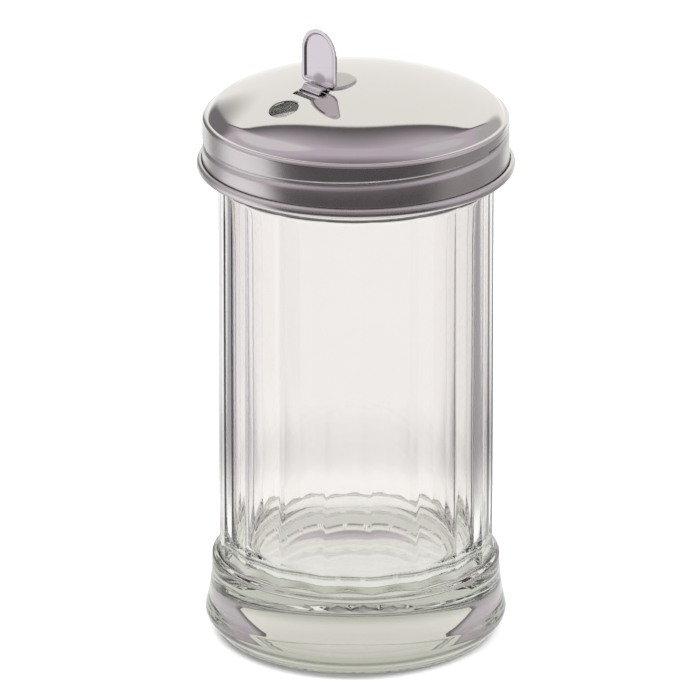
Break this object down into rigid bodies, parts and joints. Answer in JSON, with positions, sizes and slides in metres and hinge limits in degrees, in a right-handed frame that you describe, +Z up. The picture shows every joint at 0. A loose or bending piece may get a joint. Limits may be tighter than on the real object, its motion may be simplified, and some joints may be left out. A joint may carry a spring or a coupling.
{
  "type": "sugar dispenser with flap",
  "caption": "Panelled clear glass jar with a low domed steel screw lid, whose upright pivoting flap swings down over a round pour hole near the lid's edge.",
  "frame": {"origin": "on the table at the middle of the jar's standing ring", "axes": "+Z up along the jar's axis, -Y towards the pour hole, +X along the flap's hinge bar"},
  "size_m": [0.0764, 0.0764, 0.1547],
  "materials": {
    "glass": "clear pressed soda-lime glass",
    "lid_steel": "polished stainless steel, drawn sheet",
    "flap_steel": "polished stainless steel, stamped sheet"
  },
  "bodies": {
    "jar": {"glass_jar": "glass"},
    "lid": {"lid": "lid_steel"},
    "flap": {"flap": "flap_steel"}
  },
  "joints": [
    {"name": "lid_lift", "type": "slide", "parent": "jar", "child": "lid", "axis": [0, 0, 1], "range_m": [0, 0.03]},
    {"name": "flap_hinge", "type": "hinge", "parent": "lid", "child": "flap", "pos_m": [0, -0.0129, 0.13953], "axis": [1, 0, 0], "range_deg": [0, 107]}
  ]
}
